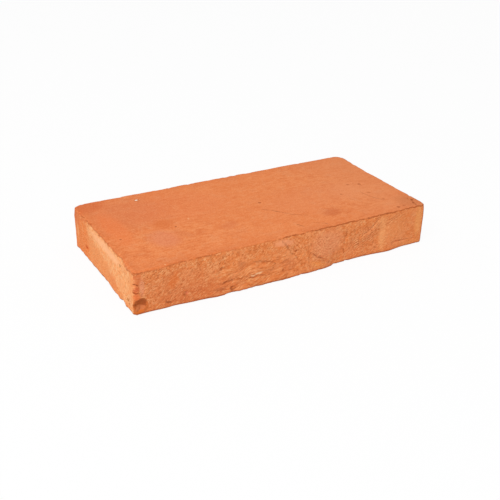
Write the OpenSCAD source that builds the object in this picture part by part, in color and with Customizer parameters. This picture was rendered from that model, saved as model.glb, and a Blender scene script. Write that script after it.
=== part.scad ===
// Hand-moulded floor brick, lying on its bed face.
// Origin: middle of the bed, +X along the length, -Y the stretcher face in front, +Z up.
// All sizes are in millimetres and all angles in degrees.

/* [Brick] */
// Length of the stretcher faces, along X
brick_l = 215; // [180:1:260]
// Width over the header faces, along Y
brick_w = 102.5; // [80:0.5:130]
// Thickness from the bed to the wearing face
brick_t = 30; // [24:0.5:45]

/* [Corners and arrises] */
// Plan radius of the two upright corners in front
front_corner_r = 2.4; // [1.2:0.1:6]
// Plan radius of the upright corner at the back left
back_left_corner_r = 2.7; // [1.2:0.1:8]
// Plan radius of the upright corner at the back right
back_right_corner_r = 7.2; // [1.2:0.1:12]
// Radius of the arris round the wearing face
top_arris_r = 1.2; // [0.5:0.1:2.5]
// Radius of the softer arris round the bed
bed_arris_r = 1.8; // [0.5:0.1:3]
// Share by which an arris grows and shrinks along its edge
arris_wander = 0.35; // [0:0.05:0.5]
// How much rounder the top arris is where it is worn, at the front left corner
corner_wear = 0.8; // [0:0.1:1.5]
// Distance of the chip off the foot of that corner from where its three faces would meet
chip_reach = 2.6; // [1.8:0.1:4]

/* [Hand moulding] */
// How far the foot of the front face draws in beside its belly
foot_draw = 1.2; // [0:0.1:2]
// How far the belly stands out from the drawn-in foot
belly = 2.6; // [0:0.1:4]
// How far the small lobe near the right end stands out from the foot
lobe = 1.1; // [0:0.1:3]
// Outward bow of the back face at mid length
back_bow = 0.6; // [0:0.1:2]
// How far the foot of the left end draws in towards the back
end_draw = 0.4; // [0:0.1:2]
// How far its near half stands out from the drawn-in foot
end_belly = 0.9; // [0:0.1:3]
// Hollow of the right end face at mid width
right_hollow = 0.9; // [0:0.1:2.5]
// Hollow of the left end face at mid width
left_hollow = 0.4; // [0:0.1:2.5]
// Unevenness that the mould and the hand leave in every side
hand_wave = 0.25; // [0:0.05:0.8]

/* [Folds and pits] */
// Radius of the groove where one lap of clay closes over the next
fold_groove_r = 0.7; // [0.3:0.05:1.2]
// How far the lip of clay along the lower side of a groove stands out
lip_height = 0.6; // [0:0.05:1.2]
// Breadth of that lip
lip_breadth = 4.5; // [2:0.1:9]
// Opening radius of the large pit at the lower front corner
pit_open_r = 4; // [2:0.1:6]
// Depth of the large pit
pit_depth = 2.5; // [1:0.1:3]
// Distance of the large pit from the end of the brick
pit_from_end = 3.9; // [2:0.1:10]
// Height of the large pit over the bed
pit_height = 7; // [5:0.1:14]
// Opening radius of the small craters left by burnt-out grit
crater_r = 1.5; // [0.6:0.1:3]
// Depth of the small craters and of the nicks in the arrises
crater_depth = 0.7; // [0.3:0.05:1.5]
// Length of a nick in an arris
nick_span = 5; // [2:0.1:8]

/* [Hidden] */
clay = [0.87, 0.52, 0.32];

half_l = brick_l / 2;
half_w = brick_w / 2;

// No arris is wider than the tightest upright corner can carry
arris_limit = 0.9 * min(front_corner_r, back_left_corner_r, back_right_corner_r);

// Steps round each upright corner, round each arris, and up the wall between the arrises
corner_steps = 5;
arris_steps = 3;
wall_steps = 13;
// Steps along the front face, the back face and each end face
front_steps = 72;
back_steps = 22;
end_steps = 16;

// Belly and lobe of the front foot: where each starts and ends and how softly it runs out,
// as shares of half the length, counted from the middle
belly_span = [-0.88, 0.36];
belly_ease = [0.5, 0.18];
lobe_span = [0.56, 0.88];
lobe_ease = [0.16, 0.16];
// Belly of the foot of the left end, in the same way but as shares of half the width
end_belly_span = [-1.02, -0.08];
end_belly_ease = [0.1, 0.3];

// Folds in the front face: x as a share of half the length, height as a share of the
// thickness, span as a share of half the length, angle of the bend, and turn in the face
folds = [
    [-0.38, 0.34, 0.22, 22, 12],
    [-0.26, 0.26, 0.16, -26, 1],
    [-0.21, 0.54, 0.16, -30, -14],
    [-0.04, 0.78, 0.12, 30, -45],
    [0.18, 0.35, 0.25, 14, -34],
    [0.38, 0.50, 0.19, -24, 87],
    [0.55, 0.66, 0.22, 36, 36],
    [0.84, 0.20, 0.17, -16, -3],
    [-0.49, 0.17, 0.10, 24, -5],
    [-0.79, 0.14, 0.05, 60, -20]
];

// Craters in the front face: x and height as above, and size against crater_r
front_craters = [
    [-0.47, 0.60, 1.2],
    [-0.34, 0.62, 0.9],
    [-0.69, 0.24, 0.7],
    [-0.39, 0.10, 0.9]
];

// Craters in the left end face: y as a share of half the width, height, and size
left_craters = [
    [-0.60, 0.80, 0.8],
    [-0.82, 0.25, 0.7],
    [0.54, 0.31, 0.8]
];

// Craters in the wearing face: x and y as shares of half the length and width, and size
top_craters = [
    [-0.63, 0.81, 0.8],
    [0.75, 0.02, 0.6],
    [0.81, -0.07, 0.7]
];

// Nicks in the front bed arris: x as a share of half the length, and size against nick_span
foot_nicks = [
    [-0.41, 2.6],
    [0.07, 1],
    [0.32, 1],
    [0.41, 1]
];
// Reach of the wear of the top arris from the front left corner, as shares of half the length
// and of half the width
wear_reach = [0.2, 0.4];
// Nicks in the upright front left corner, as shares of the thickness
corner_nicks = [0.55, 0.70];
// Notch in the bed arris of the left end, as a share of half the width
left_notch = -0.65;
// Nick in the top arris of the right end, as a share of half the width
right_nick = 0.26;

// Shape functions

function ease(u) =
    let (c = max(0, min(1, u)))
    c * c * (3 - 2 * c);

// One in the middle of a span, running out to nothing at both of its ends
function hill(u, span, soft) =
    ease((u - span[0]) / soft[0]) * ease((span[1] - u) / soft[1]);

// One at mid length of a side, nothing at its corners
function bow(u) = 1 - u * u;

// Slow unevenness of the sides, between -1 and 1
function wave(x, y, z) =
    0.5 * sin(470 * x / half_l + 130 * z / brick_t + 40)
    + 0.5 * sin(610 * y / half_w - 170 * z / brick_t + 260 * x / half_l);

// Unevenness of an arris along its edge, between -1 and 1
function wander(x, y, phase) =
    0.6 * sin(930 * x / half_l + 400 * y / half_w + phase)
    + 0.4 * sin(2300 * x / half_l - 1100 * y / half_w + 2 * phase);

function fold_bend_r(f) = f[2] * half_l / (2 * sin(abs(f[3]) / 2));

// Lip of one fold: a ridge that follows the lower side of its groove
function lip(f, x, z) =
    let (
        dx = x - f[0] * half_l,
        dz = z - f[1] * brick_t,
        along = dx * cos(f[4]) + dz * sin(f[4]),
        curve = sign(f[3]) * along * along / (2 * fold_bend_r(f)),
        across = dz * cos(f[4]) - dx * sin(f[4]) - curve + lip_breadth / 2,
        reach = f[2] * half_l / 2
    )
    lip_height * bow(min(1, abs(along) / reach)) * exp(-pow(2 * across / lip_breadth, 2));

// All lips together, fading out where the face turns into its arrises
function lips(x, z) =
    let (v = z / brick_t)
    4 * v * (1 - v) * max([for (f = folds) lip(f, x, z)]);

// How far each face stands out from its flat plane
function front_swell(x, z) =
    let (u = x / half_l)
    lips(x, z) + ease(1 - z / brick_t) * (
        belly * hill(u, belly_span, belly_ease)
        + lobe * hill(u, lobe_span, lobe_ease)
        - foot_draw
    );
function back_swell(x, z) = back_bow * bow(x / half_l) * ease(1.3 - z / brick_t);
function right_swell(y) = -right_hollow * bow(y / half_w);
function left_swell(y, z) =
    ease(1.1 - z / brick_t) * (
        end_belly * hill(y / half_w, end_belly_span, end_belly_ease)
        - end_draw
    )
    - left_hollow * bow(y / half_w);

// Blend of the four faces for a wall that looks towards the given angle
function swell(x, y, z, facing) =
    let (c = cos(facing), s = sin(facing))
    pow(max(0, -s), 2) * front_swell(x, z)
    + pow(max(0, s), 2) * back_swell(x, z)
    + pow(max(0, c), 2) * right_swell(y)
    + pow(max(0, -c), 2) * left_swell(y, z)
    + hand_wave * wave(x, y, z);

// A plan point stands on an inner outline and reaches out along its facing angle:
// [x, y, facing angle, reach]

function side_points(from, to, steps, facing, reach) =
    [for (i = [1 : steps - 1]) [
        from[0] + (to[0] - from[0]) * i / steps,
        from[1] + (to[1] - from[1]) * i / steps,
        facing,
        reach
    ]];

function corner_points(centre, from_angle, reach) =
    [for (i = [0 : corner_steps]) [
        centre[0],
        centre[1],
        from_angle + 90 * i / corner_steps,
        reach
    ]];

// Foot of a side beside a corner, set in from the side's plane by the front corner radius
fr = front_corner_r;
rr = back_right_corner_r;
lr = back_left_corner_r;
plan = concat(
    side_points([fr - half_l, fr - half_w], [half_l - fr, fr - half_w], front_steps, -90, fr),
    corner_points([half_l - fr, fr - half_w], -90, fr),
    side_points([half_l - fr, fr - half_w], [half_l - fr, half_w - rr], end_steps, 0, fr),
    corner_points([half_l - rr, half_w - rr], 0, rr),
    side_points([half_l - rr, half_w - lr], [lr - half_l, half_w - lr], back_steps, 90, lr),
    corner_points([lr - half_l, half_w - lr], 90, lr),
    side_points([fr - half_l, half_w - lr], [fr - half_l, fr - half_w], end_steps, 180, fr),
    corner_points([fr - half_l, fr - half_w], 180, fr)
);
plan_count = len(plan);

// Levels from the bed to the wearing face:
// [angle round the bed arris, share of the wall, angle round the top arris]
levels = concat(
    [for (i = [0 : arris_steps]) [90 * i / arris_steps, 0, 90]],
    [for (i = [1 : wall_steps - 1]) [90, i / wall_steps, 90]],
    [for (i = [arris_steps : -1 : 0]) [90, 1, 90 * i / arris_steps]]
);
level_count = len(levels);

function bed_arris(p) =
    min(arris_limit, bed_arris_r * (1 + arris_wander * wander(p[0], p[1], 20)));
function top_arris(p) =
    min(
        arris_limit,
        top_arris_r * (1 + arris_wander * wander(p[0], p[1], 110))
        + corner_wear
            * ease((wear_reach[0] - 1 - p[0] / half_l) / wear_reach[0])
            * ease((wear_reach[1] - 1 - p[1] / half_w) / wear_reach[1])
    );

function body_point(p, level) =
    let (
        rb = bed_arris(p),
        rt = top_arris(p),
        wall = brick_t - rb - rt,
        z = rb * (1 - cos(level[0])) + wall * level[1] + rt * cos(level[2]),
        inset = rb * (1 - sin(level[0])) + rt * (1 - sin(level[2])),
        out = p[3] - inset + swell(p[0], p[1], z, p[2])
    )
    [p[0] + out * cos(p[2]), p[1] + out * sin(p[2]), z];

// Sub-parts

// Clay body, lofted through the levels, with flat bed and wearing faces
module body() {
    bed_middle = level_count * plan_count;
    top_middle = bed_middle + 1;
    top_row = (level_count - 1) * plan_count;
    points = concat(
        [for (level = levels) for (p = plan) body_point(p, level)],
        [[0, 0, 0], [0, 0, brick_t]]
    );
    wall_faces = [
        for (k = [0 : level_count - 2])
        for (i = [0 : plan_count - 1])
        let (
            next = (i + 1) % plan_count,
            a = k * plan_count + i,
            b = k * plan_count + next,
            c = b + plan_count,
            d = a + plan_count
        )
        for (triangle = [[a, d, c], [a, c, b]]) triangle
    ];
    bed_faces = [
        for (i = [0 : plan_count - 1])
        [bed_middle, i, (i + 1) % plan_count]
    ];
    top_faces = [
        for (i = [0 : plan_count - 1])
        [top_middle, top_row + (i + 1) % plan_count, top_row + i]
    ];
    polyhedron(points, concat(wall_faces, bed_faces, top_faces), convexity = 4);
}

// Round hollow of a given opening and depth, sunk along -Z from the origin
module dimple(open_r, depth) {
    ball_r = (open_r * open_r + depth * depth) / (2 * depth);
    translate([0, 0, ball_r - depth])
        sphere(r = ball_r, $fn = 32);
}

// Curved groove in the XY plane with its middle at the origin, deepest there
// and rising out of the surface towards both ends
module groove(bend_r, bend) {
    sagitta = bend_r * (1 - cos(bend / 2));
    lift = asin(min(1, 0.9 * fold_groove_r / sagitta));
    mirror([0, bend < 0 ? 1 : 0, 0])
        rotate([lift, 0, 0])
            translate([0, bend_r, 0])
                rotate([0, 0, 270 - abs(bend) / 2])
                    rotate_extrude(angle = abs(bend), $fn = 96)
                        translate([bend_r, 0])
                            circle(r = fold_groove_r, $fn = 16);
}

// Frames that stand on a face, with Z pointing out of it

module on_front(x, z) {
    translate([x, -half_w - front_swell(x, z), z])
        rotate([90, 0, 0])
            children();
}

module on_left(y, z) {
    translate([-half_l - left_swell(y, z), y, z])
        rotate([90, 0, -90])
            children();
}

module on_top(x, y) {
    translate([x, y, brick_t])
        children();
}

module front_folds() {
    for (f = folds)
        on_front(f[0] * half_l, f[1] * brick_t)
            rotate([0, 0, f[4]])
                groove(fold_bend_r(f), f[3]);
}

module large_pit() {
    on_front(pit_from_end - half_l, pit_height)
        dimple(pit_open_r, pit_depth);
}

module craters() {
    for (c = front_craters)
        on_front(c[0] * half_l, c[1] * brick_t)
            dimple(crater_r * c[2], crater_depth);
    for (c = left_craters)
        on_left(c[0] * half_w, c[1] * brick_t)
            dimple(crater_r * c[2], crater_depth);
    for (c = top_craters)
        on_top(c[0] * half_l, c[1] * half_w)
            dimple(crater_r * c[2], crater_depth);
}

// Shallow bites out of the arrises
module nicks() {
    for (n = foot_nicks)
        on_front(n[0] * half_l, 0)
            rotate([45, 0, 0])
                dimple(n[1] * nick_span / 2, crater_depth + bed_arris_r / 2);
    for (v = corner_nicks)
        on_front(-half_l, v * brick_t)
            rotate([0, -45, 0])
                dimple(nick_span / 4, crater_depth + front_corner_r / 3);
    on_left(left_notch * half_w, 0)
        rotate([45, 0, 0])
            dimple(nick_span, crater_depth + bed_arris_r);
    translate([half_l + right_swell(right_nick * half_w), right_nick * half_w, brick_t])
        rotate([0, 45, 0])
            dimple(nick_span / 2, crater_depth + top_arris_r / 3);
}

// Flat chip off the foot of the front left corner, square to the diagonal of the block there
module foot_chip() {
    translate([-half_l, -half_w, 0])
        rotate([0, 0, 45])
            rotate([0, -asin(1 / sqrt(3)) - 90, 0])
                translate([0, 0, -chip_reach])
                    cylinder(r = 3 * front_corner_r, h = 2 * chip_reach, $fn = 24);
}

module floor_brick() {
    color(clay)
        difference() {
            body();
            front_folds();
            large_pit();
            craters();
            nicks();
            foot_chip();
        }
}

floor_brick();
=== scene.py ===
"""Looks of a hand-moulded floor brick of fired clay, lying on its bed face.

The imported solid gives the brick's true shape. This script lays a fine skin of clay over it, with
the grit, laps and chipped arrises that a hand-moulded brick has, gives the skin a fired clay
finish, and sets up a plain pale floor, soft light and the camera.
"""
from __future__ import annotations

import logging
import math
from dataclasses import dataclass, field
from enum import Enum
from typing import Union

import bpy
import numpy as np
from mathutils import Matrix, Vector
from mathutils.bvhtree import BVHTree


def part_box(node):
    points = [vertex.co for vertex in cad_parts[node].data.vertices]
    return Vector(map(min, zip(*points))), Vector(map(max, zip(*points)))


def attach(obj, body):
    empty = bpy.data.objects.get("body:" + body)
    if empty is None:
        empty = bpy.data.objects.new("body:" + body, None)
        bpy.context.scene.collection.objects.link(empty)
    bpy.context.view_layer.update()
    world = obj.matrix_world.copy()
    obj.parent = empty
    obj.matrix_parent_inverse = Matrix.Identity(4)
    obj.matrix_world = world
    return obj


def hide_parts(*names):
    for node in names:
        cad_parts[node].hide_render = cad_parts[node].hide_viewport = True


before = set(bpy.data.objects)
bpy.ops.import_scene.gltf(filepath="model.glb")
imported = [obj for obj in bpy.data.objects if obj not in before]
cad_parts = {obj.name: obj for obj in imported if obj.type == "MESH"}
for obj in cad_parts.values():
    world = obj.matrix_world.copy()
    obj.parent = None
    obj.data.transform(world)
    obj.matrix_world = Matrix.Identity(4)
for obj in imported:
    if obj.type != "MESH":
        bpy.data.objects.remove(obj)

NODE = "floor_brick"
MM = 0.001
LOG = logging.getLogger("floor_brick")

Wire = bpy.types.NodeSocket
Feed = Union[Wire, float, tuple]
Tone = tuple[int, int, int]
Spot = tuple[float, float]


class Face(Enum):
    """The faces of the brick that carry marks of their own."""

    WEARING = "wearing"
    FRONT = "front"
    HEADER = "header"


def linear(tone: Tone) -> tuple[float, float, float, float]:
    """Turns a colour as seen on a screen into the linear colour that a shader takes.

    Args:
        tone: Red, green and blue from 0 to 255.

    Returns:
        The linear red, green and blue, and an alpha of one.
    """
    parts = []
    for value in tone:
        share = value / 255.0
        parts.append(share / 12.92 if share <= 0.04045 else ((share + 0.055) / 1.055) ** 2.4)
    return (parts[0], parts[1], parts[2], 1.0)


def ease(values: np.ndarray, low: float, high: float) -> np.ndarray:
    """Eases from nought at low to one at high.

    Args:
        values: The values to ease.
        low: Where the result is nought.
        high: Where the result is one.

    Returns:
        The eased shares, as many as there are values.
    """
    share = np.clip((values - low) / (high - low), 0.0, 1.0)
    return share * share * (3.0 - 2.0 * share)


@dataclass(frozen=True)
class ClayNoise:
    """Repeatable unevenness in space, the same on every run."""

    seed: int

    def corner(self, cells: np.ndarray) -> np.ndarray:
        """Gives each whole-numbered cell corner a value.

        Args:
            cells: Whole numbers of the corners, one row each.

        Returns:
            A value from nought to one for each corner.
        """
        mixed = cells[:, 0] * 374761393 + cells[:, 1] * 668265263 + cells[:, 2] * 1440662683
        mixed = (mixed + self.seed * 974634777) & 0xFFFFFFFF
        mixed = ((mixed ^ (mixed >> 13)) * 1274126177) & 0xFFFFFFFF
        return ((mixed ^ (mixed >> 16)) & 0xFFFF) / 65535.0

    def at(self, points: np.ndarray, size: float) -> np.ndarray:
        """Samples one layer of unevenness.

        Args:
            points: Places in millimetres, one row each.
            size: Breadth of one lump in millimetres.

        Returns:
            A value from nought to one at each place.
        """
        scaled = points / size
        cells = np.floor(scaled).astype(np.int64)
        share = scaled - cells
        share = share * share * (3.0 - 2.0 * share)
        total = np.zeros(len(points))
        for index in range(8):
            step = np.array([index & 1, (index >> 1) & 1, (index >> 2) & 1])
            weight = np.prod(np.where(step == 1, share, 1.0 - share), axis=1)
            total += weight * self.corner(cells + step)
        return total

    def layered(self, points: np.ndarray, size: float, layers: int = 3) -> np.ndarray:
        """Adds finer layers of unevenness to a coarse one.

        Args:
            points: Places in millimetres, one row each.
            size: Breadth of the coarsest lumps in millimetres.
            layers: How many layers there are, each half as broad as the last.

        Returns:
            A value from nought to one at each place.
        """
        total = np.zeros(len(points))
        weight = 0.0
        for layer in range(layers):
            share = 0.5**layer
            total += share * self.at(points + 31.7 * layer, size * share)
            weight += share
        return total / weight


@dataclass(frozen=True)
class Crease:
    """A bent line where one lap of clay closes over the next, or a crack.

    Positions are in millimetres on the face: along its length and then across it, from the
    middle of the brick, or from its bed where the face stands upright. The line hangs below
    the straight way between its ends by the sag.
    """

    face: Face
    start: Spot
    end: Spot
    sag: float
    width: float
    shade: float

    @property
    def span(self) -> float:
        """Straight distance between the ends."""
        return math.dist(self.start, self.end)

    @property
    def across(self) -> Spot:
        """Direction square to the span, of length one."""
        return (
            (self.start[1] - self.end[1]) / self.span,
            (self.end[0] - self.start[0]) / self.span,
        )

    @property
    def middle(self) -> Spot:
        """Point half way along the bent line."""
        return (
            (self.start[0] + self.end[0]) / 2 - self.sag * self.across[0],
            (self.start[1] + self.end[1]) / 2 - self.sag * self.across[1],
        )

    @property
    def radius(self) -> float:
        """Radius of the arc that the line follows."""
        return (self.span**2 / 4 + self.sag**2) / (2 * abs(self.sag))

    @property
    def centre(self) -> Spot:
        """Centre of the arc that the line follows."""
        push = math.copysign(self.radius, self.sag)
        return (
            self.middle[0] + push * self.across[0],
            self.middle[1] + push * self.across[1],
        )


@dataclass(frozen=True)
class Stain:
    """A soft-edged patch of another tone on one face, placed as a crease is.

    The core is the share of its breadth that has the full tone.
    """

    face: Face
    centre: Spot
    half: Spot
    turn: float
    tone: Tone
    strength: float
    core: float = 0.35


@dataclass(frozen=True)
class Pock:
    """A small hole or grain of grit on one face, placed as a crease is."""

    face: Face
    centre: Spot
    radius: float
    tone: Tone
    strength: float
    sunk: float


@dataclass(frozen=True)
class Combing:
    """Fine lines side by side where a hand or a tool was drawn over the wet clay."""

    face: Face
    centre: Spot
    half: Spot
    turn: float
    focus: Spot
    pitch: float
    strength: float


@dataclass(frozen=True)
class PaintedArrisShade:
    """An arris darkened with painted shade, named by the way that it looks."""

    toward: tuple[float, float, float]
    strength: float


class NodeBench:
    """Short ways to lay out and join the nodes of one material."""

    def __init__(self, material: bpy.types.Material) -> None:
        """Starts from an empty node tree.

        Args:
            material: The material whose nodes are laid out.
        """
        material.use_nodes = True
        self.tree = material.node_tree
        self.tree.nodes.clear()

    def add(self, kind: str, **settings: object) -> bpy.types.Node:
        """Adds a node.

        Args:
            kind: Blender's name of the node type.
            settings: Properties of the node to set.

        Returns:
            The new node.
        """
        node = self.tree.nodes.new(kind)
        for name, value in settings.items():
            setattr(node, name, value)
        return node

    def feed(self, socket: Wire, value: Feed) -> None:
        """Links an output to a socket, or writes a plain value on it.

        Args:
            socket: The input.
            value: An output of another node, or a plain value.
        """
        if isinstance(value, bpy.types.NodeSocket):
            self.tree.links.new(value, socket)
        else:
            socket.default_value = value

    def sum(self, operation: str, *values: Feed) -> Wire:
        """Does one sum on numbers.

        Args:
            operation: Blender's name of the sum.
            values: Its inputs, outputs of other nodes or plain numbers.

        Returns:
            The result.
        """
        node = self.add("ShaderNodeMath", operation=operation)
        for socket, value in zip(node.inputs, values):
            self.feed(socket, value)
        return node.outputs[0]

    def times(self, *values: Feed) -> Wire:
        """Multiplies two or more numbers.

        Args:
            values: The numbers.

        Returns:
            Their product.
        """
        total = values[0]
        for value in values[1:]:
            total = self.sum("MULTIPLY", total, value)
        return total

    def most(self, values: list[Wire]) -> Wire:
        """Takes the largest of several numbers.

        Args:
            values: The numbers, at least one.

        Returns:
            The largest one.
        """
        total = values[0]
        for value in values[1:]:
            total = self.sum("MAXIMUM", total, value)
        return total

    def vector(self, operation: str, *values: Feed) -> Wire:
        """Does one sum on vectors.

        Args:
            operation: Blender's name of the sum.
            values: Its inputs, outputs of other nodes or plain triples.

        Returns:
            The result, a number where the sum gives one.
        """
        node = self.add("ShaderNodeVectorMath", operation=operation)
        for socket, value in zip(node.inputs, values):
            self.feed(socket, value)
        single = operation in ("LENGTH", "DISTANCE", "DOT_PRODUCT")
        return node.outputs["Value" if single else "Vector"]

    def split(self, value: Feed) -> tuple[Wire, Wire, Wire]:
        """Takes a vector apart.

        Args:
            value: The vector.

        Returns:
            Its three parts.
        """
        node = self.add("ShaderNodeSeparateXYZ")
        self.feed(node.inputs[0], value)
        return (node.outputs[0], node.outputs[1], node.outputs[2])

    def ramp(
        self, value: Feed, low: float, high: float, start: float = 0.0, end: float = 1.0
    ) -> Wire:
        """Eases a number from one value to another.

        Args:
            value: The number that is eased.
            low: Where the result is start.
            high: Where the result is end, above or below low.
            start: Result at low and before it.
            end: Result at high and past it.

        Returns:
            The eased number.
        """
        node = self.add("ShaderNodeMapRange", interpolation_type="SMOOTHSTEP")
        rising = (value, low, high, start, end)
        falling = (value, high, low, end, start)
        for socket, number in zip(node.inputs, rising if low < high else falling):
            self.feed(socket, number)
        return node.outputs[0]

    def lumps(self, place: Wire, size: float, detail: float = 2.0, rough: float = 0.55) -> Wire:
        """Noise of a given lump size, from about nought to one.

        Args:
            place: Coordinates in millimetres.
            size: Breadth of one lump in millimetres.
            detail: How many finer layers are added.
            rough: Weight of each finer layer.

        Returns:
            The noise as a number.
        """
        node = self.add("ShaderNodeTexNoise", noise_dimensions="3D")
        self.feed(node.inputs["Vector"], place)
        node.inputs["Scale"].default_value = 1.0 / size
        node.inputs["Detail"].default_value = detail
        node.inputs["Roughness"].default_value = rough
        return node.outputs[0]

    def blend(self, share: Feed, first: Feed, second: Feed) -> Wire:
        """Lays one colour over another.

        Args:
            share: How much of the second colour shows.
            first: The colour below.
            second: The colour on top.

        Returns:
            The mixed colour.
        """
        node = self.add("ShaderNodeMix", data_type="RGBA", blend_type="MIX")
        self.feed(node.inputs[0], share)
        self.feed(node.inputs[6], first)
        self.feed(node.inputs[7], second)
        return node.outputs[2]


@dataclass(frozen=True)
class ClayTones:
    """Colours of the fired clay, as they look in plain light."""

    body: Tone = (229, 130, 74)
    burnt: Tone = (214, 112, 58)
    bright: Tone = (236, 141, 84)
    rosy: Tone = (226, 140, 91)
    front: Tone = (225, 129, 70)
    front_dark: Tone = (192, 96, 42)
    sand: Tone = (238, 157, 104)
    header: Tone = (246, 165, 104)
    header_low: Tone = (235, 146, 84)
    header_far: Tone = (232, 128, 64)
    # Tone of the painted shade in creases, along arrises and at the foot
    crease: Tone = (158, 74, 30)
    pale: Tone = (250, 198, 144)
    dust: Tone = (247, 180, 122)
    shade: Tone = (170, 82, 34)
    darkest_pit_tone: Tone = (140, 70, 34)


@dataclass
class Ground:
    """What every layer of the finish draws on: places, directions and unevenness."""

    bench: NodeBench
    place: Wire = field(init=False)
    normal: Wire = field(init=False)
    along: Wire = field(init=False)
    across: Wire = field(init=False)
    up: Wire = field(init=False)
    crisp: dict[Face, Wire] = field(init=False)
    swayed: dict[Face, Wire] = field(init=False)
    facing: dict[Face, Wire] = field(init=False)
    swept: Wire = field(init=False)
    drawn: Wire = field(init=False)
    sandy: Wire = field(init=False)
    broad: Wire = field(init=False)
    middling: Wire = field(init=False)
    fine: Wire = field(init=False)
    grain: Wire = field(init=False)
    grit: Wire = field(init=False)

    def __post_init__(self) -> None:
        """Lays out the shared nodes."""
        bench = self.bench
        surface = bench.add("ShaderNodeTexCoord")
        self.place = bench.vector("MULTIPLY", surface.outputs["Object"], (1000.0,) * 3)
        self.normal = surface.outputs["Normal"]
        self.along, self.across, self.up = bench.split(self.place)
        sway = bench.add("ShaderNodeTexNoise", noise_dimensions="3D")
        bench.feed(sway.inputs["Vector"], self.place)
        sway.inputs["Scale"].default_value = 0.35
        sway.inputs["Detail"].default_value = 2.0
        shift = bench.vector("SUBTRACT", sway.outputs["Color"], (0.5,) * 3)
        moved = bench.vector("ADD", self.place, bench.vector("MULTIPLY", shift, (2.6,) * 3))
        self.crisp = self.flatten(self.place)
        self.swayed = self.flatten(moved)
        side, front, top = bench.split(self.normal)
        self.facing = {
            Face.WEARING: bench.ramp(top, 0.3, 0.6),
            Face.FRONT: bench.ramp(front, -0.25, -0.45),
            Face.HEADER: bench.times(
                bench.ramp(side, -0.55, -0.75), bench.ramp(front, -0.475, -0.28)
            ),
        }
        self.broad = self.noise(34.0, 2.0)
        self.middling = self.noise(9.0, 3.0)
        self.fine = self.noise(2.6, 2.0)
        self.grain = self.noise(1.0, 1.0)
        self.grit = self.noise(0.6, 1.0)
        self.drawn = bench.times(
            bench.ramp(self.along, -66.0, -46.0),
            bench.ramp(self.along, 8.0, -12.0),
            bench.ramp(self.up, 23.0, 15.0),
        )
        rise = bench.add("ShaderNodeCombineXYZ")
        bend = bench.sum("SUBTRACT", self.noise(17.0, 1.0), 0.5)
        bench.feed(rise.inputs[1], bench.sum("MULTIPLY", bend, 14.0))
        self.swept = bench.vector("ADD", self.crisp[Face.FRONT], rise.outputs[0])
        steep = self.dragged(self.swayed[Face.FRONT], 34.0, 2.2, 0.7)
        level = self.dragged(self.swept, 9.0, 7.0, 0.75)
        share = bench.times(self.facing[Face.FRONT], 0.72)
        self.sandy = self.mix(share, self.grain, self.mix(self.drawn, steep, level))

    def mix(self, share: Wire, first: Wire, second: Wire) -> Wire:
        """Runs from one number to another.

        Args:
            share: How much of the second number counts.
            first: The first number.
            second: The second number.

        Returns:
            The number between them.
        """
        bench = self.bench
        return bench.sum("MULTIPLY_ADD", share, bench.sum("SUBTRACT", second, first), first)

    def noise(self, size: float, detail: float) -> Wire:
        """Noise that differs from that of every other size.

        Args:
            size: Breadth of one lump in millimetres.
            detail: How many finer layers are added.

        Returns:
            The noise.
        """
        aside = self.bench.vector("ADD", self.place, (71.0 + 13.0 * size, 29.0 * size, 7.0 * size))
        return self.bench.lumps(aside, size, detail, 0.6)

    def dragged(self, flat: Wire, turn: float, length: float, breadth: float) -> Wire:
        """Noise drawn out along one direction on a face.

        Args:
            flat: Flat coordinates on the face.
            turn: Turn of that direction from the face's length, in degrees.
            length: Length of one streak in millimetres.
            breadth: Breadth of one streak in millimetres.

        Returns:
            The noise.
        """
        oval = self.turned(flat, turn)
        scaled = self.bench.vector("DIVIDE", oval, (length, breadth, 1.0))
        return self.bench.lumps(scaled, 1.0, 1.0)

    def turned(self, flat: Wire, turn: float) -> Wire:
        """Turns flat coordinates about the middle of their face.

        Args:
            flat: Flat coordinates on the face.
            turn: Turn of their new length in degrees.

        Returns:
            The turned coordinates.
        """
        spin = self.bench.add("ShaderNodeVectorRotate", rotation_type="Z_AXIS")
        self.bench.feed(spin.inputs["Vector"], flat)
        spin.inputs["Angle"].default_value = -math.radians(turn)
        return spin.outputs[0]

    def flatten(self, place: Wire) -> dict[Face, Wire]:
        """Flattens places on the brick to the plane of each face.

        Args:
            place: Places in millimetres.

        Returns:
            The flat coordinates for each face.
        """
        parts = self.bench.split(place)
        flat = {}
        for face, order in ((Face.WEARING, (0, 1)), (Face.FRONT, (0, 2)), (Face.HEADER, (1, 2))):
            node = self.bench.add("ShaderNodeCombineXYZ")
            self.bench.feed(node.inputs[0], parts[order[0]])
            self.bench.feed(node.inputs[1], parts[order[1]])
            flat[face] = node.outputs[0]
        return flat

    def patch(self, flat: Wire, centre: Spot, half: Spot, turn: float) -> Wire:
        """Distance from the middle of a turned oval, one at its rim.

        Args:
            flat: Flat coordinates on the face.
            centre: Middle of the oval.
            half: Half its length and half its breadth.
            turn: Turn of its length in degrees.

        Returns:
            The distance.
        """
        moved = self.turned(self.bench.vector("SUBTRACT", flat, (*centre, 0.0)), turn)
        scaled = self.bench.vector("DIVIDE", moved, (*half, 1.0))
        return self.bench.vector("LENGTH", scaled)


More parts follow.
